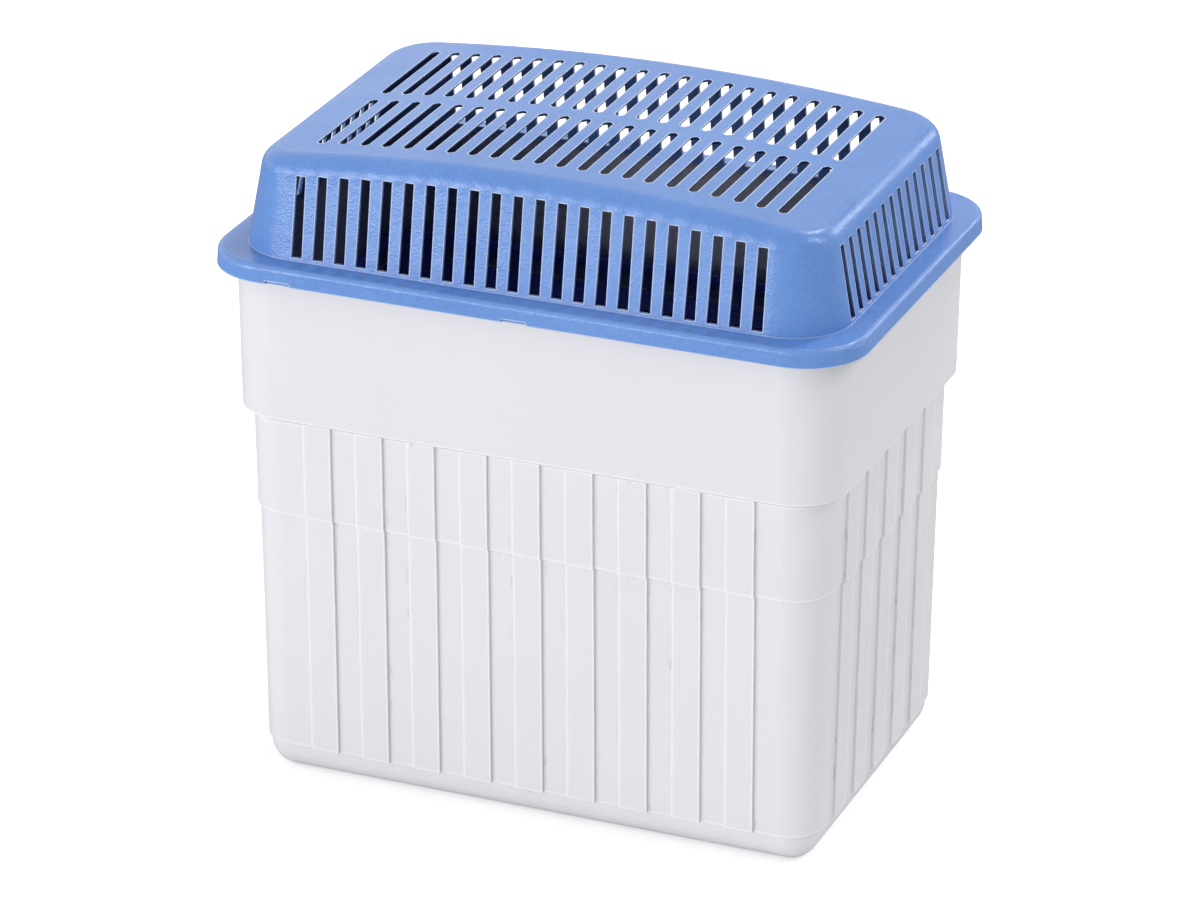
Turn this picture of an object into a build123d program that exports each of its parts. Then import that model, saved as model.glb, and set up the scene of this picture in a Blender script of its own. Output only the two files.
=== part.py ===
from build123d import *
import os
from math import atan2, degrees, floor, radians, sqrt, tan

# Granulate room dehumidifier: a tapered collecting tank with ribbed walls, a sieve tray
# that hangs on the ledge inside its collar, a bag of drying granulate in the tray, and a
# slotted hood whose skirt laps over the rim of the tank.
#
# Millimetres, +Z up. The origin is the middle of the foot, the long side runs along X and
# the front faces -Y.

# Tank, measured at the outside of its mouth
tank_length = 224.6
tank_depth = 146.8
tank_corner = 19.0
tank_height = 198.5
tank_draft = 0.8
tank_wall = 2.0
tank_floor = 2.4

# Bands down the tank's wall, and how far the wall steps in under each
collar_height = 58.0
collar_bevel = 2.4
collar_step = 3.9
upper_band_height = 37.7
waist_step = 0.9
ledge_height = 12.0
ledge_step = 1.0
foot_radius = 10.0

# Ledge inside the collar that carries the tray, above the collar's lower edge
tray_ledge_rise = 1.2

# Stiffening ribs on the tank
rib_width = 10.4
rib_pitch = 19.6
rib_relief = 1.0
plain_corner = 27.5

# Flange round the tank's mouth
flange_reach = 4.0
flange_thickness = 2.0

# Hood rim: a flat shelf with a rounded lip and a drafted skirt that laps over the flange
hood_wall = 1.2
skirt_wall = 1.8
skirt_gap = 0.4
skirt_height = 6.4
skirt_draft = 4.0
rim_corner = 23.0
lip_radius = 1.8
shelf_width = 8.5
notch_width = 9.0
notch_height = 1.2
notch_depth = 0.8
notch_inset = 31.0

# Hood dome: drafted walls under a top that is crowned along its length
dome_height = 40.1
dome_corner = 22.0
dome_draft = 10.2
dome_edge = 7.0
crown_radius = 790.0

# Slots in the dome
slot_pitch = 8.0
slot_margin = 22.6
slot_foot_width = 3.9
slot_head_width = 3.4
slot_sill = 1.2
slot_head = 6.4
top_slot_width = 3.2
top_slot_corner = 0.9
top_slot_flank = 30.0
top_margin = 14.3
top_band = 7.0

# Sieve tray: a shallow box with a rim, windows in its walls and a lattice floor
tray_gap = 0.5
tray_height = 16.0
tray_wall = 1.6
tray_floor = 2.5
tray_rim_width = 2.8
tray_rim_height = 2.4
tray_margin = 5.0
sieve_pitch = 17.5
sieve_bar = 2.6
window_sill = 5.0
window_head = 2.0

# Granulate bag, and how far each of its levels is drawn in from its waist
bag_height = 22.0
bag_corner = 26.0
bag_end_gap = 7.8
bag_front_gap = 2.8
bag_back_gap = 42.8
bag_foot_draw = 9.0
bag_shoulder_draw = 4.5
bag_top_draw = 21.6

# Clearance where one piece rests on the next, and how far a cutting form overruns
seat_gap = 0.3
overrun = 1.0

tank_slope = tan(radians(tank_draft))
dome_slope = tan(radians(dome_draft))

collar_foot = tank_height - collar_height
waist_height = collar_foot - upper_band_height
lower_step = collar_step + waist_step
foot_step = lower_step + ledge_step

shelf_top = tank_height + seat_gap + hood_wall
hood_overlap = flange_reach + skirt_gap + skirt_wall
rim_length = tank_length + 2 * hood_overlap
rim_depth = tank_depth + 2 * hood_overlap
flange_corner = rim_corner - skirt_wall - skirt_gap
skirt_foot = shelf_top - skirt_height
dome_length = rim_length - 2 * shelf_width
dome_depth = rim_depth - 2 * shelf_width
dome_lean = dome_height * dome_slope

tray_ledge = collar_foot + tray_ledge_rise
tray_foot = tray_ledge + seat_gap
tray_top = tray_foot + tray_height
bag_foot = tray_foot + tray_floor + seat_gap


def fitting(span, pitch):
    """Number of evenly spaced copies whose outermost centres lie within the span."""
    return max(1, floor(span / pitch) + 1)


def plan(height, length, depth, corner):
    """Rounded rectangle, level at the given height and centred on the tank's axis."""
    with BuildSketch(Plane.XY.offset(height)) as outline:
        RectangleRounded(length, depth, corner)
    return outline.sketch


def tank_plan(height, step, wall=0):
    """Outline of the tank's drafted wall at a height, set in by a step and a wall."""
    inset = (tank_height - height) * tank_slope + step + wall
    return plan(height, tank_length - 2 * inset, tank_depth - 2 * inset, tank_corner - inset)


def tank_band(foot, head, foot_step, head_step, wall=0, mode=Mode.ADD):
    """One band between two heights, which leans out from its step below to its step above."""
    rise = head - foot
    lean = degrees(atan2(foot_step - head_step + rise * tank_slope, rise))
    extrude(tank_plan(foot, foot_step, wall), amount=rise, taper=-lean, mode=mode)


def dome_plan(height, inset):
    """Outline of the dome's drafted wall at a height, shrunk by an inset."""
    inward = inset + (height - shelf_top) * dome_slope
    return plan(height, dome_length - 2 * inward, dome_depth - 2 * inward, dome_corner - inward)


def crown_at(x):
    """Height of the crowned top over the axis at a distance along the dome."""
    return shelf_top + dome_height - crown_radius + sqrt(crown_radius**2 - x**2)


def dome_form(foot, inset):
    """The dome as a closed form, shrunk by an inset and standing on the given height.

    The outside has a rounded top edge. The inside has a chamfer that touches the same
    round, so that the wall keeps its thickness there.
    """
    half = dome_length / 2
    end_height = crown_at(half) - inset
    head = shelf_top + dome_height + overrun
    with BuildPart() as form:
        extrude(dome_plan(foot, inset), amount=head - foot, taper=dome_draft)
        with BuildSketch(Plane.XZ):
            with BuildLine():
                crown = ThreePointArc(
                    (-half, end_height), (0, crown_at(0) - inset), (half, end_height)
                )
                Polyline(crown @ 1, (half, foot), (-half, foot), crown @ 0)
            make_face()
        extrude(amount=dome_depth / 2, both=True, mode=Mode.INTERSECT)
        brow = form.faces().sort_by(Axis.Z)[-1]
        if inset == 0:
            fillet(brow.edges(), dome_edge)
        else:
            chamfer(brow.edges(), (2 - sqrt(2)) * (dome_edge - inset))
    return form.part


def rib_band(foot, head, step):
    """Ribs that stand proud of one band of the tank's wall."""
    columns = fitting(tank_length - 2 * plain_corner - rib_width, rib_pitch)
    rows = fitting(tank_depth - 2 * plain_corner - rib_width, rib_pitch)
    with BuildPart() as band:
        tank_band(foot, head, step - rib_relief, step - rib_relief)
        with BuildSketch(Plane.XY.offset(foot)):
            with GridLocations(rib_pitch, 0, columns, 1):
                Rectangle(rib_width, tank_depth)
            with GridLocations(0, rib_pitch, 1, rows):
                Rectangle(tank_length, rib_width)
        extrude(amount=head - foot, mode=Mode.INTERSECT)
    return band.part


# The tank: foot, two ribbed bands, bevel, collar and flange, hollowed from above
upper_ribs = rib_band(waist_height, collar_foot, collar_step)
lower_ribs = rib_band(ledge_height, waist_height, lower_step)

with BuildPart() as cavity:
    tank_band(tank_floor, tray_ledge, foot_step, lower_step, tank_wall)
    fillet(cavity.faces().sort_by(Axis.Z)[0].edges(), foot_radius - tank_wall)
    tank_band(tray_ledge, tank_height, 0, 0, tank_wall)

with BuildPart() as tank:
    tank_band(0, ledge_height, foot_step, foot_step)
    fillet(tank.faces().sort_by(Axis.Z)[0].edges(), foot_radius)
    tank_band(ledge_height, waist_height, lower_step, lower_step)
    bevel_foot = collar_foot - collar_bevel
    tank_band(waist_height, bevel_foot, collar_step, collar_step)
    tank_band(bevel_foot, collar_foot, collar_step, 0)
    tank_band(collar_foot, tank_height, 0, 0)
    add(upper_ribs)
    add(lower_ribs)
    with BuildSketch(Plane.XY.offset(tank_height)):
        RectangleRounded(
            tank_length + 2 * flange_reach,
            tank_depth + 2 * flange_reach,
            flange_corner,
        )
    extrude(amount=-flange_thickness)
    add(cavity.part, mode=Mode.SUBTRACT)

# The sieve tray, which follows the drafted wall of the collar with a gap all round
tray_lean = (tank_height - tray_foot) * tank_slope
tray_length = tank_length - 2 * (tank_wall + tray_gap + tray_lean)
tray_depth = tank_depth - 2 * (tank_wall + tray_gap + tray_lean)
sieve_columns = fitting(tray_length - 2 * tray_margin - sieve_pitch, sieve_pitch)
sieve_rows = fitting(tray_depth - 2 * tray_margin - sieve_pitch, sieve_pitch)
mesh_size = sieve_pitch - sieve_bar
window_height = tray_height - tray_rim_height - window_sill - window_head

with BuildPart() as tray:
    tray_skin = tank_wall + tray_gap
    rim_foot = tray_top - tray_rim_height
    tank_band(tray_foot, tray_top, 0, 0, tray_skin)
    tank_band(tray_foot + tray_floor, rim_foot, 0, 0, tray_skin + tray_wall, Mode.SUBTRACT)
    tank_band(rim_foot, tray_top, 0, 0, tray_skin + tray_rim_width, Mode.SUBTRACT)
    with BuildSketch(Plane.XY.offset(tray_foot)):
        with GridLocations(sieve_pitch, sieve_pitch, sieve_columns, sieve_rows):
            Rectangle(mesh_size, mesh_size)
    extrude(amount=tray_floor, mode=Mode.SUBTRACT)
    window_middle = tray_foot + window_sill + window_height / 2
    with BuildSketch(Plane.XZ):
        with Locations((0, window_middle)):
            with GridLocations(sieve_pitch, 0, sieve_columns, 1):
                Rectangle(mesh_size, window_height)
    extrude(amount=tray_depth, both=True, mode=Mode.SUBTRACT)
    with BuildSketch(Plane.YZ):
        with Locations((0, window_middle)):
            with GridLocations(sieve_pitch, 0, sieve_rows, 1):
                Rectangle(mesh_size, window_height)
    extrude(amount=tray_length, both=True, mode=Mode.SUBTRACT)

# The granulate bag: a pillow that lies in the front of the tray, widest at its waist
bag_length = tray_length - 2 * (tray_wall + bag_end_gap)
bag_depth = tray_depth - 2 * tray_wall - bag_front_gap - bag_back_gap
bag_middle = (bag_front_gap - bag_back_gap) / 2


def bag_layer(foot, head, foot_draw, head_draw):
    """One layer of the bag between two heights over its foot, each drawn in all round."""
    with BuildSketch(Plane((0, bag_middle, bag_foot + foot))) as outline:
        RectangleRounded(
            bag_length - 2 * foot_draw, bag_depth - 2 * foot_draw, bag_corner - foot_draw
        )
    lean = degrees(atan2(head_draw - foot_draw, head - foot))
    extrude(outline.sketch, amount=head - foot, taper=lean)


with BuildPart() as bag:
    waist = bag_height / 3
    shoulder = 2 * waist
    bag_layer(0, waist, bag_foot_draw, 0)
    bag_layer(waist, shoulder, 0, bag_shoulder_draw)
    bag_layer(shoulder, bag_height, bag_shoulder_draw, bag_top_draw)

# The hood: rim plate with its lip, pocket for the flange, then the dome with its slots
dome_outside = dome_form(shelf_top - hood_wall, 0)
dome_inside = dome_form(shelf_top - hood_wall, hood_wall)
front_slots = fitting(dome_length - 2 * slot_margin, slot_pitch)
side_slots = fitting(dome_depth - 2 * slot_margin, slot_pitch)
sill_height = shelf_top + slot_sill
top_slot_length = (dome_depth - top_band) / 2 - dome_lean - top_margin

# A top slot flares downwards, so the form that cuts it is narrower where it starts above the crown
flank_gain = 2 * overrun * tan(radians(top_slot_flank))
top_cut = hood_wall + 2 * overrun


def wall_slot(height):
    """Outline of one slot in a dome wall, widest at its foot."""
    flank = degrees(atan2(height, (slot_foot_width - slot_head_width) / 2))
    Trapezoid(slot_foot_width, height, flank)


with BuildPart() as hood:
    with BuildSketch(Plane.XY.offset(skirt_foot)):
        RectangleRounded(rim_length, rim_depth, rim_corner)
    extrude(amount=skirt_height, taper=skirt_draft)
    fillet(hood.faces().sort_by(Axis.Z)[-1].edges(), lip_radius)
    with BuildSketch(Plane.XY.offset(skirt_foot)):
        RectangleRounded(
            rim_length - 2 * skirt_wall, rim_depth - 2 * skirt_wall, rim_corner - skirt_wall
        )
    extrude(amount=skirt_height - hood_wall, mode=Mode.SUBTRACT)
    add(dome_outside)
    add(dome_inside, mode=Mode.SUBTRACT)
    with BuildSketch(Plane.XZ):
        for column in range(front_slots):
            across = (column - (front_slots - 1) / 2) * slot_pitch
            slot_length = crown_at(across) - slot_head - sill_height
            with Locations((across, sill_height + slot_length / 2)):
                wall_slot(slot_length)
    extrude(amount=dome_depth, both=True, mode=Mode.SUBTRACT)
    side_slot_length = crown_at(dome_length / 2 - dome_lean) - slot_head - sill_height
    with BuildSketch(Plane.YZ):
        with Locations((0, sill_height + side_slot_length / 2)):
            with GridLocations(slot_pitch, 0, side_slots, 1):
                wall_slot(side_slot_length)
    extrude(amount=dome_length, both=True, mode=Mode.SUBTRACT)
    for column in range(front_slots):
        across = (column - (front_slots - 1) / 2) * slot_pitch
        with BuildSketch(Plane((across, 0, crown_at(across) + overrun))) as top_slots:
            with GridLocations(0, top_slot_length + top_band, 1, 2):
                Rectangle(top_slot_width - flank_gain, top_slot_length - flank_gain)
            chamfer(top_slots.vertices(), top_slot_corner)
        extrude(amount=-top_cut, taper=-top_slot_flank, mode=Mode.SUBTRACT)
    for side in (-1, 1):
        with BuildSketch(Plane.XZ.offset(-side * rim_depth / 2)):
            with Locations((0, skirt_foot), (side * (rim_length / 2 - notch_inset), skirt_foot)):
                Rectangle(notch_width, 2 * notch_height)
        extrude(amount=notch_depth, both=True, mode=Mode.SUBTRACT)

os.makedirs("parts", exist_ok=True)
for piece, name in (
    (tank, "collecting_tank"),
    (tray, "sieve_tray"),
    (bag, "granulate_bag"),
    (hood, "slotted_hood"),
):
    piece.part.label = name
    export_step(piece.part, f"parts/{name}.step")
    box = piece.part.bounding_box()
    print(f"{name}: {piece.part.volume / 1000:.1f} cm3, from {box.min} to {box.max}")
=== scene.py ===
# %% [markdown]
# # Dressing a room moisture absorber
# The object is a passive dehumidifier: a white tank that collects water, a navy sieve tray that
# stands on a ledge inside its collar, a fleece bag of drying granulate that lies on the sieve,
# and a sky-blue slotted hood that lets the room's air in. The three moulded parts arrive with
# their final shapes, so this lesson gives them plastic that looks moulded. The bag is soft,
# so it is blown up again as cloth.

from collections import namedtuple
from math import pi, radians

import bmesh
import bpy
from mathutils import Matrix, Vector, noise


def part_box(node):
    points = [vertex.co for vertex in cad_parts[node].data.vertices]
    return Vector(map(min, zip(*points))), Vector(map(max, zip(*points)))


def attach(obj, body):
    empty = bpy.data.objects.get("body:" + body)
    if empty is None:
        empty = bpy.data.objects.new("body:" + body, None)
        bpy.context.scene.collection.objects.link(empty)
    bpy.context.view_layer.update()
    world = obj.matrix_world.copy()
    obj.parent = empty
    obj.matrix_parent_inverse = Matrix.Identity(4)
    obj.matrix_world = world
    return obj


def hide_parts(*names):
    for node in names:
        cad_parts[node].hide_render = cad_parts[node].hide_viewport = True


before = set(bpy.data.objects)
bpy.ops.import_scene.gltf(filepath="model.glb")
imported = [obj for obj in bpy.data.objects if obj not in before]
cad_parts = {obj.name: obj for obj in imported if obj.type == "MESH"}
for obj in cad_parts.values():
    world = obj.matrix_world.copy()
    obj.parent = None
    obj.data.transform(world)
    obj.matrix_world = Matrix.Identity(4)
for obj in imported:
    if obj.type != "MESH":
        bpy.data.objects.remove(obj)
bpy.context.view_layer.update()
print("parts:", sorted(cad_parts))

# %% [markdown]
# ## Small helpers for materials
# A material is a tree of nodes. It could be wired by hand, one link at a time, but a handful of
# helpers makes the recipes read like sums: one adds a node with its settings and inputs, one
# mixes two colours, one calculates, and one turns a pattern into a mask. Each takes a number, a
# colour or another node's output, and sets or links it as needed.


# %% Helpers: nodes and colours
def feed(tree, socket, given):
    """Links an input to another node's output, or sets it to a value."""
    if isinstance(given, bpy.types.NodeSocket):
        tree.links.new(given, socket)
    else:
        socket.default_value = given


def add_node(tree, kind, inputs=None, **settings):
    """A node with its settings and with its named inputs fed."""
    node = tree.nodes.new(kind)
    for name, setting in settings.items():
        setattr(node, name, setting)
    for name, given in (inputs or {}).items():
        feed(tree, node.inputs[name], given)
    return node


# A Mix node names an input A and an input B for each kind of data, so its colours go by number.
mix_factor, mix_first, mix_second, mix_result = 0, 6, 7, 2


def blend_colours(tree, factor, first, second):
    """The colour that lies between two others by a factor."""
    node = add_node(tree, "ShaderNodeMix", data_type="RGBA")
    feed(tree, node.inputs[mix_factor], factor)
    for number, colour in ((mix_first, first), (mix_second, second)):
        if not isinstance(colour, bpy.types.NodeSocket):
            colour = (*colour, 1.0)
        feed(tree, node.inputs[number], colour)
    return node.outputs[mix_result]


print("colours enter a Mix node by inputs", mix_first, "and", mix_second)


# %% Helpers: sums and masks
def calculate(tree, operation, *terms):
    """One sum, product or other operation on one or two terms."""
    node = add_node(tree, "ShaderNodeMath", operation=operation)
    for socket, given in zip(node.inputs, terms):
        feed(tree, socket, given)
    return node.outputs[0]


def stretch_range(tree, value, low, high, out_low=0.0, out_high=1.0):
    """Spreads the part of a pattern between low and high over a new range."""
    limits = {"From Min": low, "From Max": high, "To Min": out_low, "To Max": out_high}
    return add_node(tree, "ShaderNodeMapRange", {"Value": value, **limits}).outputs["Result"]


def object_position(tree, repeats=(1, 1, 1)):
    """The surface's own position, as a number of repeats per metre along X, Y and Z."""
    position = add_node(tree, "ShaderNodeTexCoord").outputs["Object"]
    mapping = add_node(tree, "ShaderNodeMapping", {"Vector": position, "Scale": repeats})
    return mapping.outputs["Vector"]


def split_position(tree):
    """The surface's own position as three numbers in metres, by the names X, Y and Z."""
    return add_node(tree, "ShaderNodeSeparateXYZ", {"Vector": object_position(tree)}).outputs


print("masks run from 0 to 1, and positions are in metres")

# %% [markdown]
# ## Helpers for patterns and relief
# Nearly every mark on these plastics is one of two patterns, a noise or a field of cells, and
# both could take their place from texture coordinates painted on the mesh. The surface's own
# position needs no painting and gives a grain one size on every part. A relief turns a pattern
# into light and shade by its real depth.


# %% Helpers: patterns and relief
def noise_pattern(tree, repeats=(1, 1, 1), **inputs):
    """A noise over the surface's position; the inputs are those of the noise node."""
    inputs["Vector"] = object_position(tree, repeats)
    return add_node(tree, "ShaderNodeTexNoise", inputs).outputs["Fac"]


def cell_pattern(tree, per_metre, randomness=1.0, feature="F1"):
    """How far each point is from the middle of its cell, over the surface's position."""
    inputs = {"Vector": object_position(tree), "Scale": per_metre, "Randomness": randomness}
    return add_node(tree, "ShaderNodeTexVoronoi", inputs, feature=feature).outputs["Distance"]


def raise_relief(tree, height, depth, below=None, strength=1.0):
    """A node that bends the light by a pattern's height, over the normal below it."""
    inputs = {"Strength": strength, "Distance": depth, "Height": height}
    if below is not None:
        inputs["Normal"] = below
    return add_node(tree, "ShaderNodeBump", inputs)


print("one repeat per metre, unless a pattern says otherwise")

# %% [markdown]
# ## Effects that materials share
# Grain, painted edge highlights, painted shade and handling are alike on every plastic here. They
# could be copied into each material, but a node group is built once and placed with its own
# values. A group hands out only masks, heights or normals; the shader itself stays in each
# material.


# %% Helpers: shared effects
def new_effect(name, inputs, outputs):
    """An empty node group with float inputs and with outputs of the given kinds."""
    tree = bpy.data.node_groups.new(name, "ShaderNodeTree")
    for label, value in inputs.items():
        socket = tree.interface.new_socket(
            name=label, in_out="INPUT", socket_type="NodeSocketFloat"
        )
        socket.default_value = value
    for label, kind in outputs.items():
        tree.interface.new_socket(name=label, in_out="OUTPUT", socket_type=kind)
    return tree, tree.nodes.new("NodeGroupInput"), tree.nodes.new("NodeGroupOutput")


def use_effect(tree, effect, inputs=None):
    """Places a shared effect in a material."""
    return add_node(tree, "ShaderNodeGroup", inputs, node_tree=effect)


print("effects so far:", len(bpy.data.node_groups))

# %% [markdown]
# ## The skin of a moulded part
# A mould's surface is sparked or blasted, and the plastic copies it: a fine pebbled grain of
# less than a millimetre, over a slow waviness called orange peel. A grain could be painted as a
# picture, but a cell pattern and a noise need no seams and hold their scale on every face.

# %% Effect: moulded skin
grain_share = 0.45
peel_share = 0.9
noise_middle = (0.35, 0.65)


def make_moulded_skin():
    tree, given, result = new_effect(
        "moulded_skin",
        {"Grain per Metre": 1100.0},
        {"Height": "NodeSocketFloat", "Mottle": "NodeSocketFloat"},
    )
    grain = cell_pattern(tree, given.outputs["Grain per Metre"], feature="SMOOTH_F1")
    peel = noise_pattern(tree, Scale=160.0, Detail=2.0)
    speckle = noise_pattern(tree, Scale=900.0, Detail=3.0, Roughness=0.7)
    fine = calculate(tree, "MULTIPLY", grain, grain_share)
    slow = calculate(tree, "MULTIPLY", peel, peel_share)
    feed(tree, result.inputs["Height"], calculate(tree, "ADD", fine, slow))
    feed(tree, result.inputs["Mottle"], stretch_range(tree, speckle, *noise_middle))
    return tree


moulded_skin = make_moulded_skin()
print("effect:", moulded_skin.name)

# %% [markdown]
# ## Edges and corners
# No moulded edge is sharp: a radius of a few tenths of a millimetre catches a thin line of light.
# Rounding thousands of slot edges in the mesh is heavy, so the shading normal is bent near them
# instead. That line of light is also painted into the colour: a normal bent over a wider reach,
# set against the flat one, says where the paler painted highlight goes, and a short ambient
# occlusion says where the hollows are, which are painted darker as shade.

# %% Effect: edges and hollows
edge_samples = 6
edge_bend = (0.9995, 0.965)
full_edge = 0.8
hollow_sight = (0.95, 0.45)


def make_edges_and_hollows():
    tree, given, result = new_effect(
        "edges_and_hollows",
        {"Edge Radius": 0.0005, "Highlight Width": 0.0006, "Hollow Reach": 0.0025},
        {"Normal": "NodeSocketVector", "Edge": "NodeSocketFloat", "Hollow": "NodeSocketFloat"},
    )

    def bend_normal(reach):
        radius = {"Radius": given.outputs[reach]}
        return add_node(tree, "ShaderNodeBevel", radius, samples=edge_samples).outputs["Normal"]

    flat = add_node(tree, "ShaderNodeNewGeometry").outputs["Normal"]
    likeness = add_node(tree, "ShaderNodeVectorMath", operation="DOT_PRODUCT")
    feed(tree, likeness.inputs[0], bend_normal("Highlight Width"))
    feed(tree, likeness.inputs[1], flat)
    edge_highlight = stretch_range(tree, likeness.outputs["Value"], *edge_bend)
    reach = {"Distance": given.outputs["Hollow Reach"]}
    sight = add_node(tree, "ShaderNodeAmbientOcclusion", reach, samples=edge_samples)
    hollow = stretch_range(tree, sight.outputs["AO"], *hollow_sight)
    raised = calculate(tree, "SUBTRACT", edge_highlight, hollow)
    feed(tree, result.inputs["Normal"], bend_normal("Edge Radius"))
    feed(tree, result.inputs["Edge"], stretch_range(tree, raised, 0.0, full_edge))
    feed(tree, result.inputs["Hollow"], hollow)
    return tree


edges_and_hollows = make_edges_and_hollows()
print("effect:", edges_and_hollows.name)

# %% [markdown]
# ## Painted shade inside
# Behind the slots the room ends in deep shade: thin walls pass little light, and what falls in is
# caught between them. The lamps alone could draw that shade, but light that bounces between white
# walls fills it. So the shade is painted into the colour: it is measured by how much of the room
# a point can see over a reach a little short of the tank's depth, and the painted shade turns
# pale again when the hood comes off. A second mask holds it above a given height, because on the
# tank only the mouth lies behind slots.

# %% Effect: deep shade
shade_reach = 0.125
shade_samples = 20
shade_sight = (0.44, 0.27)
shade_rise = 0.006


def make_deep_shade():
    tree, given, result = new_effect(
        "deep_shade", {"Lowest": 0.0, "Openness": 1.0}, {"Shade": "NodeSocketFloat"}
    )
    reach = {"Distance": shade_reach}
    sight = add_node(tree, "ShaderNodeAmbientOcclusion", reach, samples=shade_samples)
    seen = calculate(tree, "MULTIPLY", sight.outputs["AO"], given.outputs["Openness"])
    shade = stretch_range(tree, seen, *shade_sight)
    rise = calculate(tree, "SUBTRACT", split_position(tree)["Z"], given.outputs["Lowest"])
    above = stretch_range(tree, rise, 0.0, shade_rise)
    feed(tree, result.inputs["Shade"], calculate(tree, "MULTIPLY", shade, above))
    return tree


deep_shade = make_deep_shade()
print("effect:", deep_shade.name)

# %% [markdown]
# ## Handling
# Hands and cloths leave broad, soft patches where the gloss is a little duller, and hair-fine
# scratches that run every way. Both could be drawn in the colour, but clean plastic keeps its
# colour where it is rubbed, so they only touch the roughness. Faint clouds of tone from the
# melt's flow do touch the colour.

# %% Effect: handling marks and melt flow
scratch_repeats = (420, 60, 300)
cloud_repeats = (14, 14, 5)


def make_handling_marks():
    tree, _, result = new_effect(
        "handling_marks", {}, {"Smear": "NodeSocketFloat", "Flow": "NodeSocketFloat"}
    )
    broad = noise_pattern(tree, Scale=22.0, Detail=4.0, Distortion=0.6)
    hairs = noise_pattern(tree, scratch_repeats, Scale=1.0, Detail=3.0, Distortion=1.5)
    cloud = noise_pattern(tree, cloud_repeats, Scale=1.0, Detail=3.0, Roughness=0.55)
    soft = stretch_range(tree, broad, 0.4, 0.7, 0.0, 0.8)
    thin = stretch_range(tree, hairs, 0.62, 0.72, 0.0, 0.15)
    feed(tree, result.inputs["Smear"], calculate(tree, "ADD", soft, thin))
    feed(tree, result.inputs["Flow"], stretch_range(tree, cloud, *noise_middle))
    return tree


handling_marks = make_handling_marks()
print("effect:", handling_marks.name)

# %% [markdown]
# ## Scuffs beside the ribs
# A stacked tank rubs its neighbours along its ribs, and grey dirt stays beside them as short
# upright hairs. They could be placed one by one, but a noise drawn out along Z and cut off high,
# so that only its peaks show, scatters them by itself. A slower noise decides where there are
# any at all.

# %% Effect: upright scuffs
scuff_repeats = (900, 900, 90)
zone_repeats = (30, 30, 18)


def make_upright_scuffs():
    tree, _, result = new_effect("upright_scuffs", {}, {"Scuff": "NodeSocketFloat"})
    hairs = noise_pattern(tree, scuff_repeats, Scale=1.0, Detail=5.0, Roughness=0.7)
    zones = noise_pattern(tree, zone_repeats, Scale=1.0, Detail=2.0)
    mark = stretch_range(tree, hairs, 0.56, 0.66)
    zone = stretch_range(tree, zones, 0.48, 0.6)
    feed(tree, result.inputs["Scuff"], calculate(tree, "MULTIPLY", mark, zone))
    return tree


upright_scuffs = make_upright_scuffs()
print("effect:", upright_scuffs.name)

# %% [markdown]
# ## Polypropylene
# All three rigid parts are injection-moulded polypropylene, a waxy plastic with a soft gloss.
# Each could have a material of its own, but one recipe keeps them of a kind: a body colour with
# slow clouds of tone, a darker painted shade in the hollows, a painted shade colour behind the
# slots, a paler line of painted highlight on the edges, and roughness that the handling changes.
# The parts differ in colour, gloss and grain.

# %% Recipe: moulded polypropylene
plastic_ior = 1.49
cloud_share = 0.5
speckle_share = 0.5

Plastic = namedtuple("Plastic", "material tree shader form tone bump")


def new_material(name):
    """A material with its tree of nodes and its shader."""
    material = bpy.data.materials.new(name)
    material.use_nodes = True
    return material, material.node_tree, material.node_tree.nodes["Principled BSDF"]


def make_polypropylene(
    name, body, cloud, edge_highlight, highlight_amount, hollow_shade, hollow_shade_amount, deep_shade_tone, lowest, openness,
    gloss, grain, depth, radius, highlight_width,
):
    """A plastic; body and cloud are its own colours, the edge colour is a painted highlight, the
    colours for the hollows and for deep shade are painted where shade falls, and gloss is a
    roughness range.
    """
    material, tree, shader = new_material(name)
    skin = use_effect(tree, moulded_skin, {"Grain per Metre": grain})
    form = use_effect(tree, edges_and_hollows, {"Edge Radius": radius, "Highlight Width": highlight_width})
    marks = use_effect(tree, handling_marks)
    room = use_effect(tree, deep_shade, {"Lowest": lowest, "Openness": openness})
    shade = room.outputs["Shade"]

    clouds = calculate(tree, "MULTIPLY", marks.outputs["Flow"], cloud_share)
    speckle = calculate(tree, "MULTIPLY", skin.outputs["Mottle"], speckle_share)
    tone = blend_colours(tree, calculate(tree, "ADD", clouds, speckle), body, cloud)
    # Painted shade: a darker copy of the body colour in the hollows.
    hollow_shade_share = calculate(tree, "MULTIPLY", form.outputs["Hollow"], hollow_shade_amount)
    tone = blend_colours(tree, hollow_shade_share, tone, hollow_shade)
    # Painted shade: behind the slots the colour turns to the deep-shade colour.
    tone = blend_colours(tree, shade, tone, deep_shade_tone)
    # Painted highlight: a paler line along the edges, kept out of the painted shade.
    highlight_share = calculate(tree, "MULTIPLY", form.outputs["Edge"], highlight_amount)
    highlight_share = calculate(tree, "SUBTRACT", highlight_share, shade)
    tone = blend_colours(tree, highlight_share, tone, edge_highlight)

    bump = raise_relief(tree, skin.outputs["Height"], depth, form.outputs["Normal"])
    roughness = stretch_range(tree, marks.outputs["Smear"], 0.0, 1.0, *gloss)
    feed(tree, shader.inputs["Base Color"], tone)
    feed(tree, shader.inputs["Roughness"], roughness)
    feed(tree, shader.inputs["IOR"], plastic_ior)
    feed(tree, shader.inputs["Normal"], bump.outputs["Normal"])
    return Plastic(material, tree, shader, form, tone, bump)


def dress(node_name, material):
    """Gives a part of the frame one material in place of the one it came with."""
    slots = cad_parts[node_name].data.materials
    slots.clear()
    slots.append(material)
    print(node_name, "wears", material.name)


print("a plastic keeps its", ", ".join(Plastic._fields))

# %% [markdown]
# ## The white tank
# The tank's white is faintly blue, and it shows every scuff. The scuffs could lie anywhere, but
# a cloth doesn't reach them in the tank's hollows, so they go there, beside the ribs and under
# the waist.

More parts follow.
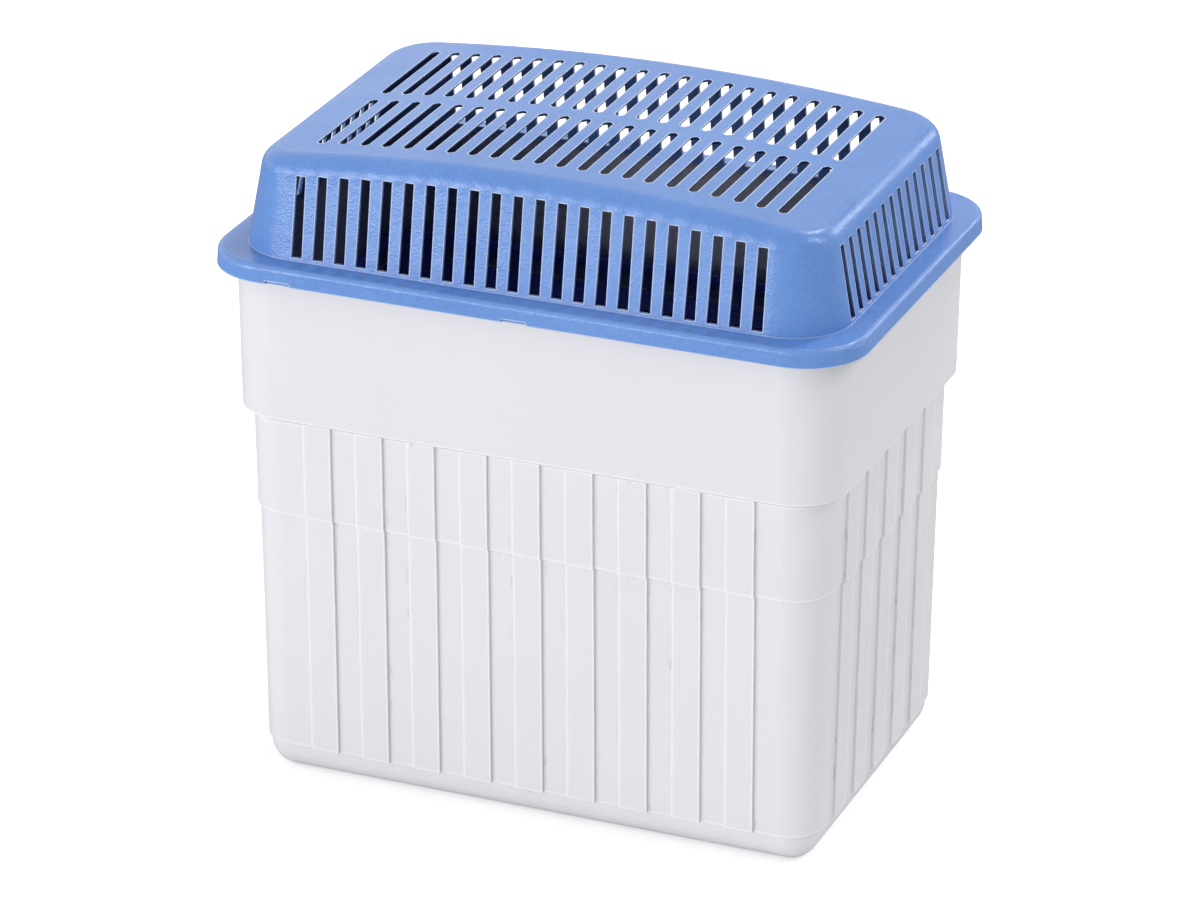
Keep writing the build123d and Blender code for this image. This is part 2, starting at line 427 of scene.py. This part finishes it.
# %% Tank
collar_foot = 0.142
scuff_grey = (0.3, 0.3, 0.33)
scuff_hollow = 0.12
scuff_amount = 0.6

# Of these colours, the pale edge one is a painted highlight, the darker one for the hollows a
# painted shade, and the dark blue one a painted shade in the mouth behind the slots.
tank = make_polypropylene(
    "tank_white",
    body=(0.80, 0.80, 0.84),
    cloud=(0.775, 0.775, 0.82),
    edge_highlight=(0.97, 0.97, 0.98),
    highlight_amount=0.9,
    hollow_shade=(0.45, 0.45, 0.48),
    hollow_shade_amount=0.04,
    deep_shade_tone=(0.045, 0.07, 0.18),
    lowest=collar_foot,
    openness=0.7,
    gloss=(0.36, 0.52),
    grain=1100.0,
    depth=0.00005,
    radius=0.0004,
    highlight_width=0.0013,
)


def add_scuffs(plastic):
    """Draws the upright scuffs over a plastic's colour, in its hollows only."""
    tree, hollow = plastic.tree, plastic.form.outputs["Hollow"]
    scuffs = use_effect(tree, upright_scuffs).outputs["Scuff"]
    beside_rib = stretch_range(tree, hollow, 0.0, scuff_hollow, 0.0, scuff_amount)
    share = calculate(tree, "MULTIPLY", scuffs, beside_rib)
    scuffed = blend_colours(tree, share, plastic.tone, scuff_grey)
    feed(tree, plastic.shader.inputs["Base Color"], scuffed)


add_scuffs(tank)
dress("collecting_tank", tank.material)

# %% [markdown]
# ## The sky-blue hood
# The hood has more gloss than the tank and a deeper grain, which breaks the light into sparkle
# where the crown turns. Above each slot the melt met again while it cooled and sank a little,
# which shows as soft upright waves under the crown's edge. They could be modelled, but they are
# a tenth of a millimetre deep, so they only bend the light: a cosine along the slots' pitch,
# held between the slots' heads and the edge.

# %% Hood
slot_pitch = 0.008
crown_radius = 0.79
crown_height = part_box("slotted_hood")[1].z
sink_depth = 0.0001
sink_starts = (crown_height - 0.0085, crown_height - 0.006)
sink_ends = (crown_height - 0.0005, crown_height - 0.004)

# Of these colours, the pale edge one is a painted highlight, the darker one for the hollows a
# painted shade, and the navy one a painted shade behind the slots.
hood = make_polypropylene(
    "hood_blue",
    body=(0.11, 0.255, 0.655),
    cloud=(0.16, 0.325, 0.735),
    edge_highlight=(0.7, 0.8, 0.98),
    highlight_amount=1.0,
    hollow_shade=(0.08, 0.17, 0.5),
    hollow_shade_amount=0.25,
    deep_shade_tone=(0.015, 0.035, 0.17),
    lowest=0.0,
    openness=0.88,
    gloss=(0.25, 0.4),
    grain=1500.0,
    depth=0.0002,
    radius=0.0005,
    highlight_width=0.00065,
)


def add_sink_waves(plastic):
    """Puts soft waves over the slots' heads, below the grain."""
    tree = plastic.tree
    place = split_position(tree)
    wave = calculate(tree, "COSINE", calculate(tree, "MULTIPLY", place["X"], 2 * pi / slot_pitch))
    square = calculate(tree, "MULTIPLY", place["X"], place["X"])
    fall = calculate(tree, "DIVIDE", square, 2 * crown_radius)
    level = calculate(tree, "ADD", place["Z"], fall)
    above_heads = stretch_range(tree, level, *sink_starts)
    below_edge = stretch_range(tree, level, *sink_ends)
    held = calculate(tree, "MULTIPLY", above_heads, below_edge)
    height = calculate(tree, "MULTIPLY", wave, held)
    waves = raise_relief(tree, height, sink_depth, plastic.form.outputs["Normal"])
    feed(tree, plastic.bump.inputs["Normal"], waves.outputs["Normal"])


add_sink_waves(hood)
dress("slotted_hood", hood.material)

# %% [markdown]
# ## The navy sieve tray
# The tray is the darkest part, nearly black where it lies in shade, and the glossiest. It could
# do with a plain dark blue, but it is seen through slots, where only the light along its thin
# bars tells its shape, so its edges get a painted highlight far paler than its body, and where it
# lies in deep shade a brighter blue is painted in as light.

# %% Tray
# Of these colours, the pale edge one is a painted highlight, the darker one for the hollows a
# painted shade, and the brighter blue one is painted light where the tray lies in deep shade.
tray = make_polypropylene(
    "tray_navy",
    body=(0.02, 0.035, 0.2),
    cloud=(0.026, 0.045, 0.24),
    edge_highlight=(0.2, 0.3, 0.9),
    highlight_amount=0.8,
    hollow_shade=(0.015, 0.02, 0.07),
    hollow_shade_amount=0.25,
    deep_shade_tone=(0.03, 0.055, 0.34),
    lowest=0.0,
    openness=0.62,
    gloss=(0.16, 0.28),
    grain=1100.0,
    depth=0.00004,
    radius=0.0005,
    highlight_width=0.0006,
)
dress("sieve_tray", tray.material)

# %% [markdown]
# ## The granulate bag: its filling
# A bag of drying granulate is a flat fleece pillow. It could be carved by hand, but a pillow's
# tight, rounded skin comes from pressure, so the bag starts a little smaller than its place, is
# meshed evenly, and is then blown up as cloth. How far any point may go is capped, which keeps
# the bag in its place between the tray's walls. The flat rim where a real bag's two fleeces are
# welded together is left out.

# %% Cut the pillow and mesh it evenly
bag_low, bag_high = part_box("granulate_bag")
bag_middle = (bag_low + bag_high) / 2
pillow_share = (0.95, 0.9, 0.8)
pillow_voxel = 0.0045
same_point = 0.00001


def link_new_object(name, data):
    """A new object of the scene that holds the given mesh, lamp or camera."""
    made = bpy.data.objects.new(name, data)
    bpy.context.scene.collection.objects.link(made)
    return made


def object_from_shape(name, shape):
    """Turns a finished bmesh into an object."""
    mesh = bpy.data.meshes.new(name)
    shape.to_mesh(mesh)
    shape.free()
    return link_new_object(name, mesh)


def apply_modifiers(piece):
    """Replaces a piece's mesh by the mesh that its modifiers make."""
    piece_now = piece.evaluated_get(bpy.context.evaluated_depsgraph_get())
    shaped = bpy.data.meshes.new_from_object(piece_now)
    piece.modifiers.clear()
    piece.data = shaped


def cut_pillow():
    """The bag's own solid, made a little smaller about its middle and meshed in even squares."""
    shape = bmesh.new()
    shape.from_mesh(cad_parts["granulate_bag"].data)
    bmesh.ops.remove_doubles(shape, verts=shape.verts, dist=same_point)
    bmesh.ops.translate(shape, verts=shape.verts, vec=-bag_middle)
    bmesh.ops.scale(shape, verts=shape.verts, vec=pillow_share)
    bmesh.ops.translate(shape, verts=shape.verts, vec=bag_middle)
    pillow = object_from_shape("fleece_bag", shape)
    even = pillow.modifiers.new("even", "REMESH")
    even.mode = "VOXEL"
    even.voxel_size = pillow_voxel
    apply_modifiers(pillow)
    return pillow


fleece_bag = cut_pillow()
print("pillow meshed with", len(fleece_bag.data.vertices), "points")

# %% [markdown]
# Twenty steps of cloth are enough for the skin to go tight. Gravity could be left on, but the
# granulate carries the skin, so it is off. Left free, the pillow would swell by almost two
# centimetres, so the pressure says which way each point goes and the cap says how far.

# %% Blow the pillow up
pillow_pressure = 4
pillow_cap = 0.0021
pillow_steps = 20


def fill_pillow(pillow):
    """Blows the pillow up as cloth and caps how far any point has gone."""
    start = [vertex.co.copy() for vertex in pillow.data.vertices]
    cloth = pillow.modifiers.new("filling", "CLOTH")
    cloth.settings.use_pressure = True
    cloth.settings.uniform_pressure_force = pillow_pressure
    cloth.settings.effector_weights.gravity = 0
    for step in range(1, pillow_steps + 1):
        bpy.context.scene.frame_set(step)
    apply_modifiers(pillow)
    farthest = 0.0
    for vertex, origin in zip(pillow.data.vertices, start):
        way = vertex.co - origin
        farthest = max(farthest, way.length)
        if way.length > pillow_cap:
            vertex.co = origin + way.normalized() * pillow_cap
    bpy.context.scene.frame_set(1)


fill_pillow(fleece_bag)

# %% [markdown]
# ## The granules under the skin
# Granules of a few millimetres push the fleece out in small lumps. A bump in the material could
# hint at them, but they show on the bag's outline too, so they are in the mesh. One subdivision
# makes it fine enough, and a cellular noise moves each point a little along its normal.

# %% Lumps of granulate
lump_pitch = 0.0065
lump_height = 0.0005
lump_middle = 0.5


def raise_lumps(pillow):
    """Lifts the skin over each granule and lets it sink in between."""
    smooth = pillow.modifiers.new("smooth", "SUBSURF")
    smooth.levels = smooth.render_levels = 1
    apply_modifiers(pillow)
    shape = bmesh.new()
    shape.from_mesh(pillow.data)
    shape.normal_update()
    for vertex in shape.verts:
        nearest = noise.voronoi(vertex.co / lump_pitch)[0][0]
        vertex.co += vertex.normal * lump_height * (lump_middle - min(nearest, 1.0))
    for face in shape.faces:
        face.smooth = True
    shape.to_mesh(pillow.data)
    shape.free()


raise_lumps(fleece_bag)
print("pillow now has", len(fleece_bag.data.vertices), "points")

# %% [markdown]
# ## Fleece
# The fleece is spun-bonded: fine white fibres pressed together in a grid of small dots. A weave
# could stand in for it, but it would show threads that such a fleece doesn't have. The fibres
# are a stretched noise, the dots are cells, and the granules below show as a faint grey mottle.
# It has a soft sheen and no gloss, and under the blue hood a bluish grey shade is painted into
# its colour.

# %% Fleece material
dots_per_metre = 700.0
dot_disorder = 0.12
granules_per_metre = 230.0
fibre_repeats = (900, 1500, 1200)
fluff_share = 0.4
fleece_depth = 0.00012
fleece_openness = 0.62


def make_fleece():
    material, tree, shader = new_material("fleece_white")
    fibres = noise_pattern(tree, fibre_repeats, Scale=1.0, Detail=6.0, Distortion=2.0)
    fibre_tone = stretch_range(tree, fibres, 0.3, 0.7)
    pressed = stretch_range(tree, cell_pattern(tree, dots_per_metre, dot_disorder), 0.16, 0.3)
    mottle = stretch_range(tree, cell_pattern(tree, granules_per_metre), 0.1, 0.75)
    room = use_effect(tree, deep_shade, {"Openness": fleece_openness})
    tone = blend_colours(tree, mottle, (0.84, 0.84, 0.83), (0.7, 0.71, 0.73))
    tone = blend_colours(tree, fibre_tone, tone, (0.86, 0.86, 0.85))
    tone = blend_colours(tree, pressed, (0.62, 0.63, 0.66), tone)
    # Painted shade: under the hood the fleece's colour turns a bluish grey.
    tone = blend_colours(tree, room.outputs["Shade"], tone, (0.36, 0.4, 0.6))
    fluff = calculate(tree, "MULTIPLY", fibres, fluff_share)
    height = calculate(tree, "ADD", pressed, fluff)
    bump = raise_relief(tree, height, fleece_depth, strength=0.8)
    feed(tree, shader.inputs["Base Color"], tone)
    feed(tree, shader.inputs["Roughness"], stretch_range(tree, pressed, 0.0, 1.0, 0.5, 0.9))
    feed(tree, shader.inputs["Sheen Weight"], 0.25)
    feed(tree, shader.inputs["Sheen Roughness"], 0.5)
    feed(tree, shader.inputs["Normal"], bump.outputs["Normal"])
    return material


fleece_bag.data.materials.clear()
fleece_bag.data.materials.append(make_fleece())
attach(fleece_bag, "bag")
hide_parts("granulate_bag")

# %% [markdown]
# ## Floor and room
# The object stands on a plain white floor in a white room, so that only its own shadow lies
# round it. Stronger lamps could whiten the floor, but they would bleach the object too. So the
# floor and the room look white to the camera by a little light of their own, which falls on
# nothing. In the gloss of the plastic the floor is grey, and the room fades from white on the
# left to grey on the right, because white all round would wash out the sides that face away.

# %% Floor
floor_half_width = 4
floor_tone = (0.9, 0.9, 0.9)
floor_tone_in_gloss = (0.3, 0.3, 0.3)
floor_own_light = (0.42, 0.42, 0.42)
no_light = (0.0, 0.0, 0.0)


def make_floor():
    shape = bmesh.new()
    bmesh.ops.create_grid(shape, x_segments=2, y_segments=2, size=floor_half_width)
    floor = object_from_shape("studio_floor", shape)
    material, tree, shader = new_material("floor_white")
    ray = add_node(tree, "ShaderNodeLightPath").outputs
    tone = blend_colours(tree, ray["Is Glossy Ray"], floor_tone, floor_tone_in_gloss)
    own_light = blend_colours(tree, ray["Is Camera Ray"], no_light, floor_own_light)
    feed(tree, shader.inputs["Base Color"], tone)
    feed(tree, shader.inputs["Roughness"], 0.9)
    feed(tree, shader.inputs["Emission Color"], own_light)
    feed(tree, shader.inputs["Emission Strength"], 1.0)
    floor.data.materials.append(material)


make_floor()
print("floor", 2 * floor_half_width, "m wide")

# %% Room
room_light = 0.53
gloss_left = 1.15
gloss_right = 0.3
gloss_turn = 0.4


def make_room():
    """A world that lights softly, and that is white to the camera and uneven to the gloss."""
    world = bpy.data.worlds.new("white_room")
    world.use_nodes = True
    tree = world.node_tree
    backdrop = tree.nodes["Background"]
    ray = add_node(tree, "ShaderNodeLightPath").outputs
    way = add_node(tree, "ShaderNodeTexCoord").outputs["Generated"]
    across = add_node(tree, "ShaderNodeSeparateXYZ", {"Vector": way}).outputs["X"]
    gloss = stretch_range(tree, across, -gloss_turn, gloss_turn, gloss_left, gloss_right)
    gloss = calculate(tree, "MULTIPLY", gloss, ray["Is Glossy Ray"])
    level = calculate(tree, "MAXIMUM", gloss, room_light)
    white = calculate(tree, "MAXIMUM", ray["Is Camera Ray"], ray["Is Transmission Ray"])
    feed(tree, backdrop.inputs["Color"], (1, 1, 1, 1))
    feed(tree, backdrop.inputs["Strength"], calculate(tree, "MAXIMUM", level, white))
    bpy.context.scene.world = world


make_room()
print("the room lights with", room_light, "of white")

# %% [markdown]
# ## Lamps
# One large soft box stands in front and to the left: it draws the front lighter than the side,
# and the gloss of the front wall fades to the right as it leaves the box. A narrow one on the
# right sparkles on the hood's corner, and one behind it on the right puts the long highlight
# along the shoulder. A small one stands high behind and lights the crown and the inside. A
# lamp's power says little by itself, so each is given by how bright it makes a white card at
# the object.

# %% Lamps
aim = Vector((0, 0, 0.12))


def add_soft_box(name, place, width, height, card_level):
    """A lamp turned to the object; card_level is the part of white it gives a white card."""
    lamp = bpy.data.lights.new(name, "AREA")
    lamp.shape = "RECTANGLE"
    lamp.size, lamp.size_y = width, height
    way = aim - Vector(place)
    lamp.energy = card_level * (pi * way.length) ** 2
    holder = link_new_object(name, lamp)
    holder.location = place
    holder.rotation_mode = "QUATERNION"
    holder.rotation_quaternion = way.to_track_quat("-Z", "Y")
    print(name, round(lamp.energy, 1), "W")


add_soft_box("key_box", (-1.75, -2.7, 0.62), 2.4, 1.1, card_level=0.47)
add_soft_box("side_box", (1.9, 0.25, 2.0), 0.4, 1.0, card_level=0.2)
add_soft_box("shoulder_box", (1.0, 2.1, 1.0), 0.6, 0.6, card_level=0.1)
add_soft_box("back_box", (0.5, 1.7, 2.3), 0.45, 0.45, card_level=0.27)

# %% [markdown]
# ## Camera
# A short lens close by would spread the tank's sides, so a long one looks from two metres,
# which keeps them nearly parallel. The camera could be placed by its own position, but the point
# it looks at, its distance and three angles are easier to judge. They make up one matrix.

# %% Camera
camera_target = Vector((-0.0004, -0.0009, 0.1152))
camera_distance = 2.0075
camera_azimuth = radians(22.16)
camera_elevation = radians(23.96)
camera_roll = radians(0.19)
focal_length = 170.8
film_width = 36.0
farthest_seen = 50


def make_camera():
    lens = bpy.data.cameras.new("long_lens")
    lens.sensor_width = film_width
    lens.lens = focal_length
    lens.clip_end = farthest_seen
    camera = link_new_object("camera", lens)
    turn = Matrix.Rotation(camera_azimuth, 4, "Z")
    tilt = Matrix.Rotation(radians(90) - camera_elevation, 4, "X")
    roll = Matrix.Rotation(camera_roll, 4, "Z")
    pull_back = Matrix.Translation((0, 0, camera_distance))
    camera.matrix_world = Matrix.Translation(camera_target) @ turn @ tilt @ roll @ pull_back
    bpy.context.scene.camera = camera


make_camera()
bpy.context.scene.view_settings.view_transform = "Standard"
print("camera with a lens of", focal_length, "mm at", camera_distance, "m")
